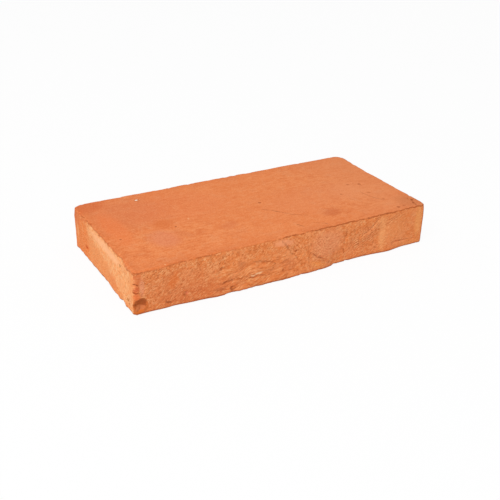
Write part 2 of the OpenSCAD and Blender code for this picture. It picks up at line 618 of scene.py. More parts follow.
@dataclass(frozen=True)
class FiredClay:
    """Finish of the brick: dry, sandy, unglazed clay with marks where it was worked, and painted
    shade and highlights in its creases, pits and arrises.
    """

    tones: ClayTones
    half: Vector
    creases: tuple[Crease, ...]
    stains: tuple[Stain, ...]
    marks: tuple[Stain, ...]
    pocks: tuple[Pock, ...]
    combings: tuple[Combing, ...]
    arrises: tuple[PaintedArrisShade, ...]

    @property
    def height(self) -> float:
        """Thickness of the brick."""
        return 2 * self.half[2]

    def tone(self, name: str) -> tuple[float, float, float, float]:
        """Linear colour of a named tone."""
        return linear(getattr(self.tones, name))

    def wearing_colour(self, ground: Ground) -> Wire:
        """Mottled, faintly pink clay of the wearing face, more burnt along its rim.

        Args:
            ground: The shared nodes.

        Returns:
            The colour.
        """
        bench = ground.bench
        ends = bench.ramp(bench.sum("ABSOLUTE", ground.along), 20.0, 60.0, 1.0, 2.1)
        colour = bench.blend(
            bench.ramp(ground.broad, 0.38, 0.62, 0.0, 0.5), self.tone("body"), self.tone("bright")
        )
        rosy = bench.times(bench.ramp(ground.middling, 0.50, 0.70, 0.0, 0.35), ends)
        colour = bench.blend(rosy, colour, self.tone("rosy"))
        burnt = bench.times(bench.ramp(ground.middling, 0.47, 0.30, 0.0, 0.35), ends)
        colour = bench.blend(burnt, colour, self.tone("burnt"))
        brushed = ground.dragged(ground.swayed[Face.WEARING], 4.0, 9.0, 2.0)
        for unevenness in (brushed, ground.fine):
            dark = bench.times(bench.ramp(unevenness, 0.50, 0.28, 0.0, 0.28), ends)
            colour = bench.blend(dark, colour, self.tone("burnt"))
            light = bench.ramp(unevenness, 0.50, 0.72, 0.0, 0.26)
            colour = bench.blend(light, colour, self.tone("sand"))
        end = bench.ramp(ground.along, 0.3 * self.half[0], 0.9 * self.half[0], 0.0, 0.5)
        colour = bench.blend(end, colour, self.tone("rosy"))
        rim_x = bench.sum("SUBTRACT", self.half[0], bench.sum("ABSOLUTE", ground.along))
        rim_y = bench.sum("SUBTRACT", self.half[1], bench.sum("ABSOLUTE", ground.across))
        rim = bench.ramp(bench.sum("MINIMUM", rim_x, rim_y), 12.0, 0.5, 0.0, 0.5)
        rim = bench.times(rim, bench.ramp(ground.middling, 0.38, 0.6))
        return bench.blend(rim, colour, self.tone("burnt"))

    def squiggles(
        self, ground: Ground, flat: Wire, turn: float, length: float, part: float
    ) -> Wire:
        """Short wandering lines where sand was dragged over the wet clay of the front face.

        Args:
            ground: The shared nodes.
            flat: Flat coordinates on the face.
            turn: Way that the lines mostly run, in degrees from the face's length.
            length: How long one line is, in millimetres.
            part: Sets one set of lines apart from another.

        Returns:
            One on the lines, and nought between them.
        """
        bench = ground.bench
        flat = bench.vector("ADD", flat, (part, 2 * part, 3 * part))
        aside = bench.vector("DIVIDE", ground.turned(flat, turn), (length, 1.15, 1.0))
        level = bench.lumps(aside, 1.0, 1.0)
        line = bench.ramp(bench.sum("ABSOLUTE", bench.sum("SUBTRACT", level, 0.5)), 0.07, 0.01)
        broken = bench.ramp(bench.lumps(aside, 1.6, 0.0), 0.44, 0.60)
        return bench.times(line, broken)

    def front_colour(self, ground: Ground) -> Wire:
        """Duller, rougher clay of the front face, sandy and streaked.

        Args:
            ground: The shared nodes.

        Returns:
            The colour.
        """
        bench = ground.bench
        calm = bench.ramp(ground.along, 0.62 * self.half[0], 0.74 * self.half[0], 1.0, 0.45)
        sand = bench.ramp(ground.middling, 0.46, 0.64, 0.0, 0.34)
        colour = bench.blend(sand, self.tone("front"), self.tone("sand"))
        dull = bench.ramp(ground.middling, 0.46, 0.30, 0.0, 0.30)
        colour = bench.blend(dull, colour, self.tone("front_dark"))
        dark = bench.times(bench.ramp(ground.fine, 0.48, 0.30, 0.0, 0.28), calm)
        colour = bench.blend(dark, colour, self.tone("front_dark"))
        left = bench.ramp(ground.along, -36.0, -50.0, 0.6, 1.0)
        for name, turn, part in (("shade", 58.0, 17.0), ("dust", 22.0, 43.0)):
            steep = self.squiggles(ground, ground.swayed[Face.FRONT], turn, 2.3, part)
            level = self.squiggles(ground, ground.swept, 9.0, 7.0, part)
            lines = bench.times(ground.mix(ground.drawn, steep, level), 0.8, calm, left)
            colour = bench.blend(lines, colour, self.tone(name))
        return colour

    def header_colour(self, ground: Ground) -> Wire:
        """Pale dusty clay of the left end, warmer along its foot and towards the back.

        Args:
            ground: The shared nodes.

        Returns:
            The colour.
        """
        bench = ground.bench
        dust = bench.ramp(ground.fine, 0.45, 0.65, 0.0, 0.5)
        colour = bench.blend(dust, self.tone("header"), self.tone("pale"))
        slope = bench.sum("MULTIPLY", ground.across, 0.32)
        edge = bench.sum("SUBTRACT", bench.sum("SUBTRACT", ground.up, slope), 15.5)
        ragged = bench.sum("MULTIPLY", bench.sum("SUBTRACT", ground.middling, 0.5), 16.0)
        foot = bench.ramp(bench.sum("ADD", edge, ragged), 1.5, -2.5, 0.0, 0.85)
        colour = bench.blend(foot, colour, self.tone("header_low"))
        far = bench.ramp(ground.across, 0.40 * self.half[1], 0.56 * self.half[1], 0.0, 0.9)
        colour = bench.blend(far, colour, self.tone("header_far"))
        fleck = bench.ramp(ground.fine, 0.44, 0.30, 0.0, 0.7)
        return bench.blend(fleck, colour, self.tone("header_far"))

    def wrap(self, ground: Ground, face: Face, drop: Wire, wobble: float) -> Wire:
        """Distance above the ragged line where clay of the wearing face laps over an arris.

        Args:
            ground: The shared nodes.
            face: The upright face below the arris.
            drop: How far the line lies below the wearing face, in millimetres.
            wobble: How far it strays up and down, in millimetres.

        Returns:
            The distance in millimetres, below nought under the line.
        """
        bench = ground.bench
        stray = bench.lumps(ground.crisp[face], 5.0 if face is Face.HEADER else 3.4, 2.0)
        stray = bench.sum("MULTIPLY", bench.sum("SUBTRACT", stray, 0.5), 4.0 * wobble)
        above = bench.sum("ADD", bench.sum("SUBTRACT", ground.up, self.height), drop)
        return bench.sum("ADD", above, stray)

    def face_colours(self, ground: Ground) -> tuple[Wire, Wire]:
        """Joins the colours of the faces along ragged lines.

        Args:
            ground: The shared nodes.

        Returns:
            The joined colour, and the painted shade along the arrises and the foot.
        """
        bench = ground.bench
        colour = self.wearing_colour(ground)
        drop = bench.ramp(ground.along, 26.0 - self.half[0], 14.0 - self.half[0], 0.5, 1.4)
        above_front = self.wrap(ground, Face.FRONT, drop, 0.5)
        near = bench.ramp(ground.across, 12.5 - self.half[1], 7.5 - self.half[1], 0.7, 2.2)
        notch = bench.ramp(
            bench.sum("ABSOLUTE", bench.sum("ADD", ground.across, 39.3)), 4.6, 1.2, 0.0, 2.4
        )
        far = bench.ramp(ground.across, self.half[1] - 30.0, self.half[1] - 10.0, 0.0, 5.0)
        drop = bench.sum("ADD", bench.sum("ADD", near, far), notch)
        above_header = self.wrap(ground, Face.HEADER, drop, 0.7)
        share = bench.times(ground.facing[Face.FRONT], bench.ramp(above_front, 0.3, -0.3))
        colour = bench.blend(share, colour, self.front_colour(ground))
        share = bench.times(ground.facing[Face.HEADER], bench.ramp(above_header, 0.3, -0.3))
        colour = bench.blend(share, colour, self.header_colour(ground))
        side, front, _ = bench.split(ground.normal)
        broken = bench.ramp(ground.noise(4.0, 2.0), 0.36, 0.52, 0.25, 1.0)
        right = bench.sum(
            "MAXIMUM",
            bench.ramp(ground.along, -13.0, -5.0, 0.4, 1.0),
            bench.ramp(ground.along, -54.0, -60.0, 0.4, 0.7),
        )
        # Painted shadow line under the lap of clay along the front's top arris
        gap = bench.ramp(bench.sum("ABSOLUTE", above_front), 0.65, 0.15)
        unbroken = bench.ramp(ground.along, 78.0, 92.0)
        worn = bench.ramp(
            bench.sum("ABSOLUTE", bench.sum("ADD", ground.along, 92.5)), 3.5, 7.5, 0.35, 1.0
        )
        front_shadow_line = bench.times(
            gap, bench.ramp(front, -0.1, -0.4), right, worn, bench.sum("MAXIMUM", broken, unbroken)
        )
        # Painted shade line under the lap of clay along the header's top arris
        gap = bench.ramp(bench.sum("ABSOLUTE", above_header), 0.8, 0.2, 0.0, 0.55)
        fading = bench.ramp(ground.across, 0.40 * self.half[1], 0.65 * self.half[1], 1.0, 0.0)
        header_shade_line = bench.times(gap, bench.ramp(side, -0.2, -0.5), broken, fading)
        # Painted shade along the right and back arrises of the wearing face
        from_right = bench.sum("SUBTRACT", self.half[0], ground.along)
        from_back = bench.sum("SUBTRACT", self.half[1], ground.across)
        rim = bench.ramp(bench.sum("MINIMUM", from_right, from_back), 2.4, 1.0, 0.0, 0.65)
        rim = bench.times(rim, bench.most(list(ground.facing.values())))
        # Painted shade along the foot of the brick
        foot = bench.ramp(ground.up, 2.4, 1.0, 0.0, 0.75)
        lines = [front_shadow_line, header_shade_line, rim, foot]
        # Painted shade on the arrises listed as shaded
        for arris in self.arrises:
            toward = Vector(arris.toward).normalized()
            look = bench.vector("DOT_PRODUCT", ground.normal, tuple(toward))
            lines.append(bench.times(bench.ramp(look, 0.80, 0.95, 0.0, arris.strength), broken))
        return colour, bench.most(lines)

    def painted_crease_shade(self, ground: Ground) -> Wire:
        """Draws all creases as painted shade in their folds and cracks.

        Args:
            ground: The shared nodes.

        Returns:
            The share of painted shade along the creases, nought away from them.
        """
        bench = ground.bench
        shades = []
        for crease in self.creases:
            flat = ground.swayed[crease.face]
            out = bench.vector("DISTANCE", flat, (*crease.centre, 0.0))
            off = bench.sum("ABSOLUTE", bench.sum("SUBTRACT", out, crease.radius))
            line = bench.ramp(off, crease.width, 0.15 * crease.width)
            run = bench.vector("DISTANCE", flat, (*crease.middle, 0.0))
            reach = bench.ramp(run, 0.54 * crease.span, 0.30 * crease.span, 0.0, crease.shade)
            shades.append(bench.times(line, reach, ground.facing[crease.face]))
        broken = bench.ramp(ground.fine, 0.34, 0.50, 0.35, 1.0)
        return bench.times(bench.most(shades), broken)

    def combed(self, ground: Ground) -> Wire:
        """Draws all combed patches.

        Args:
            ground: The shared nodes.

        Returns:
            The height of the fine ridges, above and below nought.
        """
        bench = ground.bench
        total: Feed = 0.0
        for combing in self.combings:
            flat = ground.swayed[combing.face]
            out = bench.vector("DISTANCE", flat, (*combing.focus, 0.0))
            wave = bench.sum("SINE", bench.sum("MULTIPLY", out, math.tau / combing.pitch))
            rim = ground.patch(ground.crisp[combing.face], combing.centre, combing.half, combing.turn)
            share = bench.ramp(rim, 1.0, 0.6, 0.0, combing.strength)
            patch = bench.times(wave, share, ground.facing[combing.face])
            total = bench.sum("ADD", total, patch)
        return total

    def lay_stains(self, ground: Ground, colour: Wire, stains: tuple[Stain, ...]) -> Wire:
        """Lays stains over a colour.

        Args:
            ground: The shared nodes.
            colour: The colour below.
            stains: The stains, the lowest first.

        Returns:
            The stained colour.
        """
        bench = ground.bench
        for stain in stains:
            rim = ground.patch(ground.swayed[stain.face], stain.centre, stain.half, stain.turn)
            share = bench.ramp(rim, 1.0, stain.core, 0.0, stain.strength)
            share = bench.times(share, ground.facing[stain.face])
            colour = bench.blend(share, colour, linear(stain.tone))
        return colour

    def lay_pocks(self, ground: Ground, colour: Wire) -> tuple[Wire, Wire]:
        """Lays all pocks over a colour.

        Args:
            ground: The shared nodes.
            colour: The colour below.

        Returns:
            The colour with the pocks, and how deep they are sunk.
        """
        bench = ground.bench
        depths = []
        for pock in self.pocks:
            out = bench.vector("DISTANCE", ground.crisp[pock.face], (*pock.centre, 0.0))
            ragged = bench.sum("ADD", out, bench.sum("MULTIPLY", ground.grain, 0.9 * pock.radius))
            round_share = bench.ramp(ragged, 1.45 * pock.radius, 0.95 * pock.radius)
            round_share = bench.times(round_share, ground.facing[pock.face])
            share = bench.times(round_share, pock.strength)
            # A dark pock that sinks is partly painted shade in its hole and partly the clay's own
            # dark speck
            colour = bench.blend(share, colour, linear(pock.tone))
            depths.append(bench.times(round_share, pock.sunk))
        return colour, bench.most(depths)

    def build(self) -> bpy.types.Material:
        """Lays out the whole finish.

        Returns:
            The finished material.
        """
        material = bpy.data.materials.new("fired_clay")
        bench = NodeBench(material)
        ground = Ground(bench)
        colour, lines = self.face_colours(ground)
        colour = self.lay_stains(ground, colour, self.stains)

        # Ridges of combed clay catch the light, and the furrows between them hold shade
        ridges = self.combed(ground)
        colour = bench.blend(bench.ramp(ridges, 0.0, 1.0, 0.0, 0.6), colour, self.tone("sand"))
        furrows = bench.ramp(ridges, 0.0, -1.0, 0.0, 0.7)
        colour = bench.blend(furrows, colour, self.tone("front_dark"))

        # Sand grains, strongest on the upright faces
        upright = bench.sum("SUBTRACT", 1.0, ground.facing[Face.WEARING])
        quiet = bench.ramp(ground.along, 0.62 * self.half[0], 0.74 * self.half[0], 1.0, 0.75)
        amount = bench.times(bench.ramp(upright, 0.0, 1.0, 0.35, 1.0), quiet)
        light = bench.times(bench.ramp(ground.sandy, 0.51, 0.68, 0.0, 0.50), amount)
        colour = bench.blend(light, colour, self.tone("dust"))
        patchy = bench.ramp(ground.middling, 0.36, 0.62, 0.34, 0.60)
        smooth = bench.ramp(ground.facing[Face.HEADER], 0.0, 1.0, 1.0, 0.7)
        dark = bench.times(bench.ramp(ground.sandy, 0.49, 0.32), patchy, smooth, amount)
        colour = bench.blend(dark, colour, self.tone("shade"))
        # Small marks over the sand, among them painted highlights on a lap and painted shade in the
        # corner pit
        colour = self.lay_stains(ground, colour, self.marks)

        # Painted shade in the creases, along the arrises and at the foot
        creases = self.painted_crease_shade(ground)
        shade = bench.sum("MAXIMUM", bench.times(creases, 0.65), bench.times(lines, 0.78))
        colour = bench.blend(shade, colour, self.tone("crease"))
        colour, sunk = self.lay_pocks(ground, colour)

        # Relief finer than the mesh: grit, ridges, and the bottoms of creases and pocks
        level = bench.ramp(ground.drawn, 0.0, 1.0, 1.0, 0.8)
        relief = bench.times(ground.sandy, bench.ramp(upright, 0.0, 1.0, 0.12, 0.40), level)
        relief = bench.sum("ADD", relief, bench.times(ground.grit, 0.10))
        relief = bench.sum("ADD", relief, bench.times(ridges, 0.14))
        relief = bench.sum("SUBTRACT", relief, bench.times(creases, 0.35))
        relief = bench.sum("SUBTRACT", relief, sunk)
        roughening = bench.add("ShaderNodeBump")
        roughening.inputs["Strength"].default_value = 0.8
        roughening.inputs["Distance"].default_value = MM
        bench.feed(roughening.inputs["Height"], relief)

        shader = bench.add("ShaderNodeBsdfPrincipled")
        bench.feed(shader.inputs["Base Color"], colour)
        bench.feed(shader.inputs["Roughness"], bench.ramp(ground.fine, 0.3, 0.7, 0.96, 0.84))
        bench.feed(shader.inputs["Normal"], roughening.outputs[0])
        shader.inputs["Specular IOR Level"].default_value = 0.2
        output = bench.add("ShaderNodeOutputMaterial")
        bench.feed(output.inputs[0], shader.outputs[0])
        return material


@dataclass
class ClaySkin:
    """The brick's visible skin: a fine mesh laid on the solid, worked by hand."""

    solid: bpy.types.Object
    lower: Vector
    upper: Vector
    fine_step: float = 0.38
    fine_bands: tuple[float, float, float] = (8.0, 3.0, 3.0)
    steps: tuple[float, float, float] = (0.92, 1.1, 0.64)
    bend: float = 6.0
    noise: ClayNoise = field(default_factory=lambda: ClayNoise(7))

    @property
    def half(self) -> np.ndarray:
        """Half of the solid's length, width and thickness in millimetres."""
        return np.array(self.upper - self.lower) / (2 * MM)

    @property
    def centre(self) -> np.ndarray:
        """Middle of the solid in millimetres."""
        return np.array(self.upper + self.lower) / (2 * MM)

    def lines(self, axis: int) -> np.ndarray:
        """Places of the mesh lines along one axis, closer together beside the arrises.

        Args:
            axis: Nought, one or two for X, Y or Z.

        Returns:
            The places in millimetres from the middle.
        """
        half, band = float(self.half[axis]), self.fine_bands[axis]
        edge = np.linspace(half - band, half, round(band / self.fine_step) + 1)
        count = round(2 * (half - band) / self.steps[axis])
        middle = np.linspace(band - half, half - band, count + 1)
        return np.concatenate([-edge[:0:-1], middle, edge[1:]])

    def lattice(self) -> tuple[np.ndarray, np.ndarray]:
        """Lays square meshes over the six sides of a box, joined along its edges.

        Returns:
            The points in millimetres from the middle, and four point numbers for each square.
        """
        lines = [self.lines(axis) for axis in range(3)]
        counts = [len(line) for line in lines]
        grid = np.stack(np.meshgrid(*[np.arange(count) for count in counts], indexing="ij"), -1)
        outer = ((grid == 0) | (grid == np.array(counts) - 1)).any(axis=-1)
        number = np.full(counts, -1, dtype=np.int64)
        number[outer] = np.arange(outer.sum())
        spots = grid[outer]
        points = np.stack([lines[axis][spots[:, axis]] for axis in range(3)], axis=-1)
        squares = []
        for axis in range(3):
            for end in (0, -1):
                sheet = np.take(number, end, axis=axis)
                quad = np.stack([sheet[:-1, :-1], sheet[1:, :-1], sheet[1:, 1:], sheet[:-1, 1:]], -1)
                quad = quad.reshape(-1, 4)
                outward = (end == -1) != (axis == 1)
                squares.append(quad if outward else quad[:, ::-1])
        return points, np.concatenate(squares)

    def lay_on_solid(self, points: np.ndarray) -> np.ndarray:
        """Drops each point of the lattice straight onto the solid.

        Args:
            points: Points of the lattice in millimetres from the middle.

        Returns:
            The places on the solid, in millimetres in the brick's frame.
        """
        tree = BVHTree.FromObject(self.solid, bpy.context.evaluated_depsgraph_get())
        inner = np.clip(points, self.bend - self.half, self.half - self.bend)
        aim = points - inner
        aim /= np.linalg.norm(aim, axis=1)[:, None]
        start = inner + self.centre + aim * 30.0
        laid = np.empty_like(points)
        for index in range(len(points)):
            hit = tree.ray_cast(Vector(start[index] * MM), Vector(-aim[index]))[0]
            laid[index] = np.array(hit) / MM
        return laid

    def normals(self, points: np.ndarray, squares: np.ndarray) -> np.ndarray:
        """Directions in which the skin looks, averaged over the squares at each point.

        Args:
            points: Points of the skin.
            squares: Point numbers of each square.

        Returns:
            One direction of length one for each point.
        """
        corner = points[squares]
        facing = np.cross(corner[:, 2] - corner[:, 0], corner[:, 3] - corner[:, 1])
        total = np.zeros_like(points)
        for index in range(4):
            np.add.at(total, squares[:, index], facing)
        return total / np.linalg.norm(total, axis=1)[:, None]

    def worked_depth(self, points: np.ndarray, normals: np.ndarray) -> np.ndarray:
        """How far the worked clay lies below the smooth solid.

        Args:
            points: Points of the skin in millimetres.
            normals: Directions in which the skin looks.

        Returns:
            A depth in millimetres for each point, below nought where the clay stands proud.
        """
        top = ease(normals[:, 2], 0.6, 0.9)
        bed = ease(-normals[:, 2], 0.6, 0.9)
        front = ease(-normals[:, 1], 0.6, 0.9)
        header = ease(-normals[:, 0], 0.6, 0.9)
        side = 1.0 - np.clip(top + bed, 0.0, 1.0)
        rough = front * ease(-points[:, 0], -80.0, -60.0)
        swells = self.noise.layered(points, 16.0, 2) - 0.5
        lumps = self.noise.layered(points + 210.0, 4.5, 2) - 0.5
        grit = self.noise.layered(points + 430.0, 2.0, 2) - 0.5
        depth = (0.08 * top + 0.35 * side) * swells
        depth += (0.06 * top + 0.20 * side + 0.20 * rough + 0.1 * header) * lumps
        depth += (0.03 + 0.14 * side + 0.20 * rough) * grit
        depth += self.laps(points) * front
        depth += self.chips(points)
        return depth * (1.0 - 0.6 * bed)

    def laps(self, points: np.ndarray) -> np.ndarray:
        """Drawn-out laps of clay along the middle of the front face.

        Args:
            points: Points of the skin in millimetres.

        Returns:
            The depth below the solid that the laps leave.
        """
        tilt = math.radians(9.0)
        along = points[:, 0] * math.cos(tilt) + points[:, 2] * math.sin(tilt)
        across = points[:, 2] * math.cos(tilt) - points[:, 0] * math.sin(tilt)
        drift = self.noise.at(points + 90.0, 12.0) * 5.0
        drawn = np.stack([along / 5.5, points[:, 1] * 0.0, across + drift], axis=-1)
        ridge = 1.0 - np.abs(2.0 * self.noise.layered(drawn, 3.2, 2) - 1.0)
        reach = ease(points[:, 0], -60.0, -46.0) * ease(-points[:, 0], -12.0, 2.0)
        rise = ease(points[:, 2], 1.0, 5.0) * ease(-points[:, 2], -22.0, -14.0)
        return 0.38 * ease(ridge, 0.70, 1.0) * reach * rise

    def chips(self, points: np.ndarray) -> np.ndarray:
        """Small losses along the arrises, most of them on the top arris of the header.

        Args:
            points: Points of the skin in millimetres.

        Returns:
            The depth that the chips take off.
        """
        away = np.sort(self.half - np.abs(points - self.centre), axis=1)
        edge = np.exp(-((np.maximum(away[:, 1], 0.0) / 1.6) ** 2))
        header_top = ease(-points[:, 0], 100.0, 106.0) * ease(points[:, 2], 24.0, 28.0)
        foot = ease(-points[:, 2], -5.0, -1.0)
        ragged = self.noise.layered(points + 700.0, 3.4, 3)
        loss = ease(ragged, 0.46, 0.80) * (0.7 + 0.90 * header_top + 0.35 * foot)
        depth = edge * loss - 0.08
        for side, loss in (((-1.0, 1.0, 1.0), 1.5), ((1.0, -1.0, 1.0), 1.0)):
            corner = self.centre + self.half * np.array(side)
            depth += loss * np.exp(-((np.linalg.norm(points - corner, axis=1) / 4.5) ** 2))
        return depth

    def build(self, finish: FiredClay) -> bpy.types.Object:
        """Makes the skin and gives it its finish.

        Args:
            finish: The finish of the clay.

        Returns:
            The skin as one object in the brick's frame.
        """
        points, squares = self.lattice()
        laid = self.lay_on_solid(points)
        normals = self.normals(laid, squares)
        worked = laid - normals * self.worked_depth(laid, normals)[:, None]
        room = self.half - 0.02
        worked = np.clip(worked, self.centre - room, self.centre + room)
        mesh = bpy.data.meshes.new("clay_skin")
        mesh.from_pydata((worked * MM).tolist(), [], squares.tolist())
        mesh.polygons.foreach_set("use_smooth", [True] * len(mesh.polygons))
        mesh.update()
        mesh.materials.append(finish.build())
        skin = bpy.data.objects.new("clay_skin", mesh)
        bpy.context.scene.collection.objects.link(skin)
        return skin


@dataclass
class FloorBrick:
    """The whole brick: one block of fired clay."""

    node: str = NODE
    tones: ClayTones = field(default_factory=ClayTones)

    def creases(self) -> tuple[Crease, ...]:
        """Lines where laps of clay close, and cracks that firing opened."""
        front, wearing, header = Face.FRONT, Face.WEARING, Face.HEADER
        return (
            Crease(front, (-53.5, 7.4), (-27.5, 9.4), -1.0, 0.6, 0.75),
            Crease(front, (-50.5, 9.2), (-45.5, 9.4), 0.2, 0.8, 0.95),
            Crease(front, (-33.0, 7.4), (-19.5, 6.8), -0.9, 0.55, 0.7),
            Crease(front, (-30.5, 17.9), (-14.0, 14.2), -1.1, 0.6, 0.65),
            Crease(front, (-15.2, 14.9), (-13.4, 12.2), -0.5, 0.6, 0.7),
            Crease(front, (-57.5, 5.6), (-48.0, 4.4), 0.4, 0.5, 0.55),
            Crease(front, (-9.0, 28.8), (-1.5, 20.6), 0.6, 0.45, 0.6),
            Crease(front, (-2.4, 20.0), (5.0, 11.8), 0.3, 0.4, 0.6),
            Crease(front, (6.5, 20.0), (24.5, 7.4), 0.6, 0.4, 0.45),
            Crease(front, (22.0, 8.6), (34.5, 1.6), 0.4, 0.4, 0.25),
            Crease(front, (10.4, 26.5), (11.4, 3.5), -0.6, 0.4, 0.5),
            Crease(front, (40.6, 26.5), (41.6, 4.5), -1.2, 0.5, 0.35),
            Crease(front, (49.0, 12.4), (71.0, 26.4), 2.0, 0.4, 0.35),
            Crease(front, (73.0, 24.0), (88.5, 29.2), 0.5, 0.4, 0.5),
            Crease(front, (72.5, 22.2), (85.4, 26.9), 0.5, 0.4, 0.4),
            Crease(front, (83.0, 6.2), (104.0, 5.0), -0.5, 0.45, 0.42),
            Crease(front, (-88.0, 5.6), (-83.0, 3.2), 0.4, 0.7, 1.0),
            Crease(wearing, (0.5, -8.0), (14.5, -23.5), -0.9, 0.6, 0.8),
            Crease(wearing, (13.5, -22.5), (25.0, -30.5), 0.5, 0.55, 0.6),
            Crease(wearing, (9.5, -38.5), (13.5, -43.5), 0.3, 0.7, 0.85),
            Crease(wearing, (20.0, -41.0), (30.5, -48.5), -0.8, 0.5, 0.7),
            Crease(wearing, (79.0, -13.0), (87.5, -35.0), 2.4, 0.7, 0.5),
            Crease(wearing, (103.4, -39.0), (99.8, -50.8), 0.5, 0.6, 0.8),
            Crease(wearing, (71.0, -50.6), (79.5, -50.8), 0.2, 0.8, 0.8),
            Crease(header, (36.0, 29.5), (22.0, 28.6), 0.5, 0.6, 0.85),
        )

    def stains(self) -> tuple[Stain, ...]:
        """Patches of other tones on the faces."""
        front, wearing = Face.FRONT, Face.WEARING
        return (
            Stain(wearing, (-80.0, 24.0), (36.0, 34.0), 0.0, (216, 121, 76), 0.55),
            Stain(wearing, (-45.0, 20.0), (46.0, 34.0), 0.0, (226, 123, 74), 0.4),
            Stain(wearing, (72.0, -8.0), (20.0, 18.0), 0.0, (234, 148, 98), 0.4),
            Stain(wearing, (-101.0, 45.0), (18.0, 14.0), 0.0, (210, 104, 56), 0.7),
            Stain(wearing, (-96.0, 6.0), (10.0, 36.0), 0.0, (234, 124, 68), 0.6),
            Stain(wearing, (42.0, -33.5), (10.0, 7.5), 20.0, (206, 106, 58), 0.7),
            Stain(wearing, (-74.0, -20.0), (13.0, 16.0), 0.0, (222, 132, 94), 0.6),
            Stain(wearing, (-65.0, 0.0), (11.0, 7.0), 10.0, (216, 114, 58), 0.65),
            Stain(wearing, (-60.5, -19.0), (5.0, 10.0), 30.0, (212, 116, 68), 0.5),
            Stain(wearing, (-29.0, -21.0), (9.0, 6.0), 30.0, (214, 117, 70), 0.5),
            Stain(wearing, (40.0, -8.0), (50.0, 26.0), 12.0, (228, 135, 86), 0.4),
            Stain(wearing, (100.0, -42.0), (12.0, 14.0), 20.0, (196, 112, 66), 0.5),
            Stain(wearing, (87.0, -46.6), (2.4, 1.8), 10.0, (176, 84, 40), 0.75),
            Stain(wearing, (91.5, -46.4), (2.0, 1.4), 10.0, (184, 92, 48), 0.6),
            Stain(front, (-79.0, 15.0), (34.0, 17.0), 0.0, (216, 124, 74), 0.5),
            Stain(front, (-82.7, 19.0), (4.5, 7.0), -20.0, (222, 112, 48), 0.6),
            Stain(front, (-73.0, 20.0), (4.0, 5.0), 0.0, (234, 146, 92), 0.2),
            Stain(front, (-66.0, 6.0), (34.0, 10.0), 0.0, (206, 110, 60), 0.6),
            Stain(front, (-4.0, 11.0), (9.0, 6.0), 0.0, (200, 104, 58), 0.35),
            Stain(front, (26.0, 18.0), (17.0, 14.0), 0.0, (229, 144, 98), 0.75),
            Stain(front, (46.0, 9.0), (10.0, 8.0), 0.0, (238, 142, 86), 0.45),
            Stain(front, (19.0, 5.6), (9.0, 3.0), -20.0, (234, 142, 74), 0.75),
            Stain(front, (71.4, 14.0), (4.6, 18.0), 3.0, (240, 162, 102), 0.75, 0.15),
            Stain(front, (68.5, 24.0), (6.5, 5.0), 20.0, (236, 156, 98), 0.5),
            Stain(front, (79.0, 18.0), (13.0, 13.0), 0.0, (240, 156, 98), 0.35),
            Stain(front, (102.2, 19.0), (4.2, 16.0), 3.0, (234, 152, 88), 0.8),
            Stain(front, (97.0, 2.8), (14.0, 2.4), 0.0, (226, 138, 74), 0.6),
            Stain(front, (-102.6, 19.0), (2.2, 9.0), 3.0, (236, 158, 120), 0.5),
            Stain(front, (-106.4, 17.0), (2.0, 5.0), 0.0, (216, 106, 60), 0.6),
        )

    def marks(self) -> tuple[Stain, ...]:
        """Small patches that lie over the sand: painted highlights on a lap, the pit with painted
        shade in it, lumps of clay and scrapes.
        """
        front, header = Face.FRONT, Face.HEADER
        return (
            # Painted highlights on the crest of the long lap
            Stain(front, (-25.6, 9.7), (3.8, 1.1), 3.0, (252, 200, 150), 0.85),
            Stain(front, (-29.2, 8.8), (1.9, 0.9), 0.0, (252, 206, 160), 0.8),
            Stain(front, (-32.4, 6.2), (1.4, 1.0), 20.0, (246, 164, 96), 0.8),
            Stain(front, (-37.0, 18.6), (5.0, 2.6), -10.0, (176, 88, 44), 0.4),
            Stain(front, (-7.0, 26.2), (10.0, 3.2), -6.0, (240, 158, 112), 0.7),
            Stain(front, (-105.4, 25.0), (2.8, 5.5), 0.0, (208, 108, 60), 0.7, 0.5),
            # The corner pit: the first four patches are painted shade over the pit, under its roof
            # and at its two ends; the last two are its lighter middle and floor
            Stain(front, (-103.8, 6.0), (5.6, 5.8), 0.0, (200, 108, 52), 0.95, 0.85),
            Stain(front, (-103.2, 8.8), (4.2, 2.8), 4.0, (178, 94, 44), 0.95, 0.85),
            Stain(front, (-100.7, 6.8), (1.1, 2.8), -8.0, (172, 88, 42), 0.9, 0.5),
            Stain(front, (-106.2, 6.2), (0.9, 2.2), 6.0, (176, 88, 40), 0.8, 0.5),
            Stain(front, (-103.1, 4.9), (3.1, 1.9), 0.0, (208, 120, 70), 0.95, 0.8),
            Stain(front, (-104.2, 2.5), (3.8, 1.3), 4.0, (222, 114, 42), 0.9, 0.6),
            Stain(front, (-106.2, 21.2), (1.9, 0.8), -14.0, (160, 74, 32), 0.85, 0.5),
            Stain(front, (-105.6, 18.6), (2.4, 2.0), 0.0, (206, 98, 54), 0.7, 0.4),
            Stain(front, (-106.4, 15.8), (2.4, 0.7), 8.0, (160, 74, 32), 0.85, 0.5),
            Stain(front, (-105.8, 12.8), (2.6, 2.4), 0.0, (226, 112, 58), 0.7, 0.5),
            Stain(header, (45.0, 24.0), (9.0, 8.0), 0.0, (218, 116, 66), 0.7),
            Stain(header, (-47.5, 20.0), (4.5, 12.0), 0.0, (236, 146, 86), 0.6),
            Stain(header, (-8.0, 25.0), (34.0, 4.5), 0.0, (255, 190, 142), 0.65),
            Stain(header, (-18.0, 7.0), (9.0, 8.0), 0.0, (234, 138, 78), 0.65),
            Stain(header, (-32.0, 12.0), (6.0, 8.0), 0.0, (240, 164, 108), 0.6),
            Stain(header, (-45.0, 8.0), (4.0, 6.0), 0.0, (226, 154, 104), 0.4),
            Stain(header, (28.6, 9.6), (2.4, 1.9), 0.0, (204, 92, 40), 0.85),
            Stain(header, (44.0, 15.0), (1.8, 10.0), 0.0, (244, 168, 112), 0.7),
        )

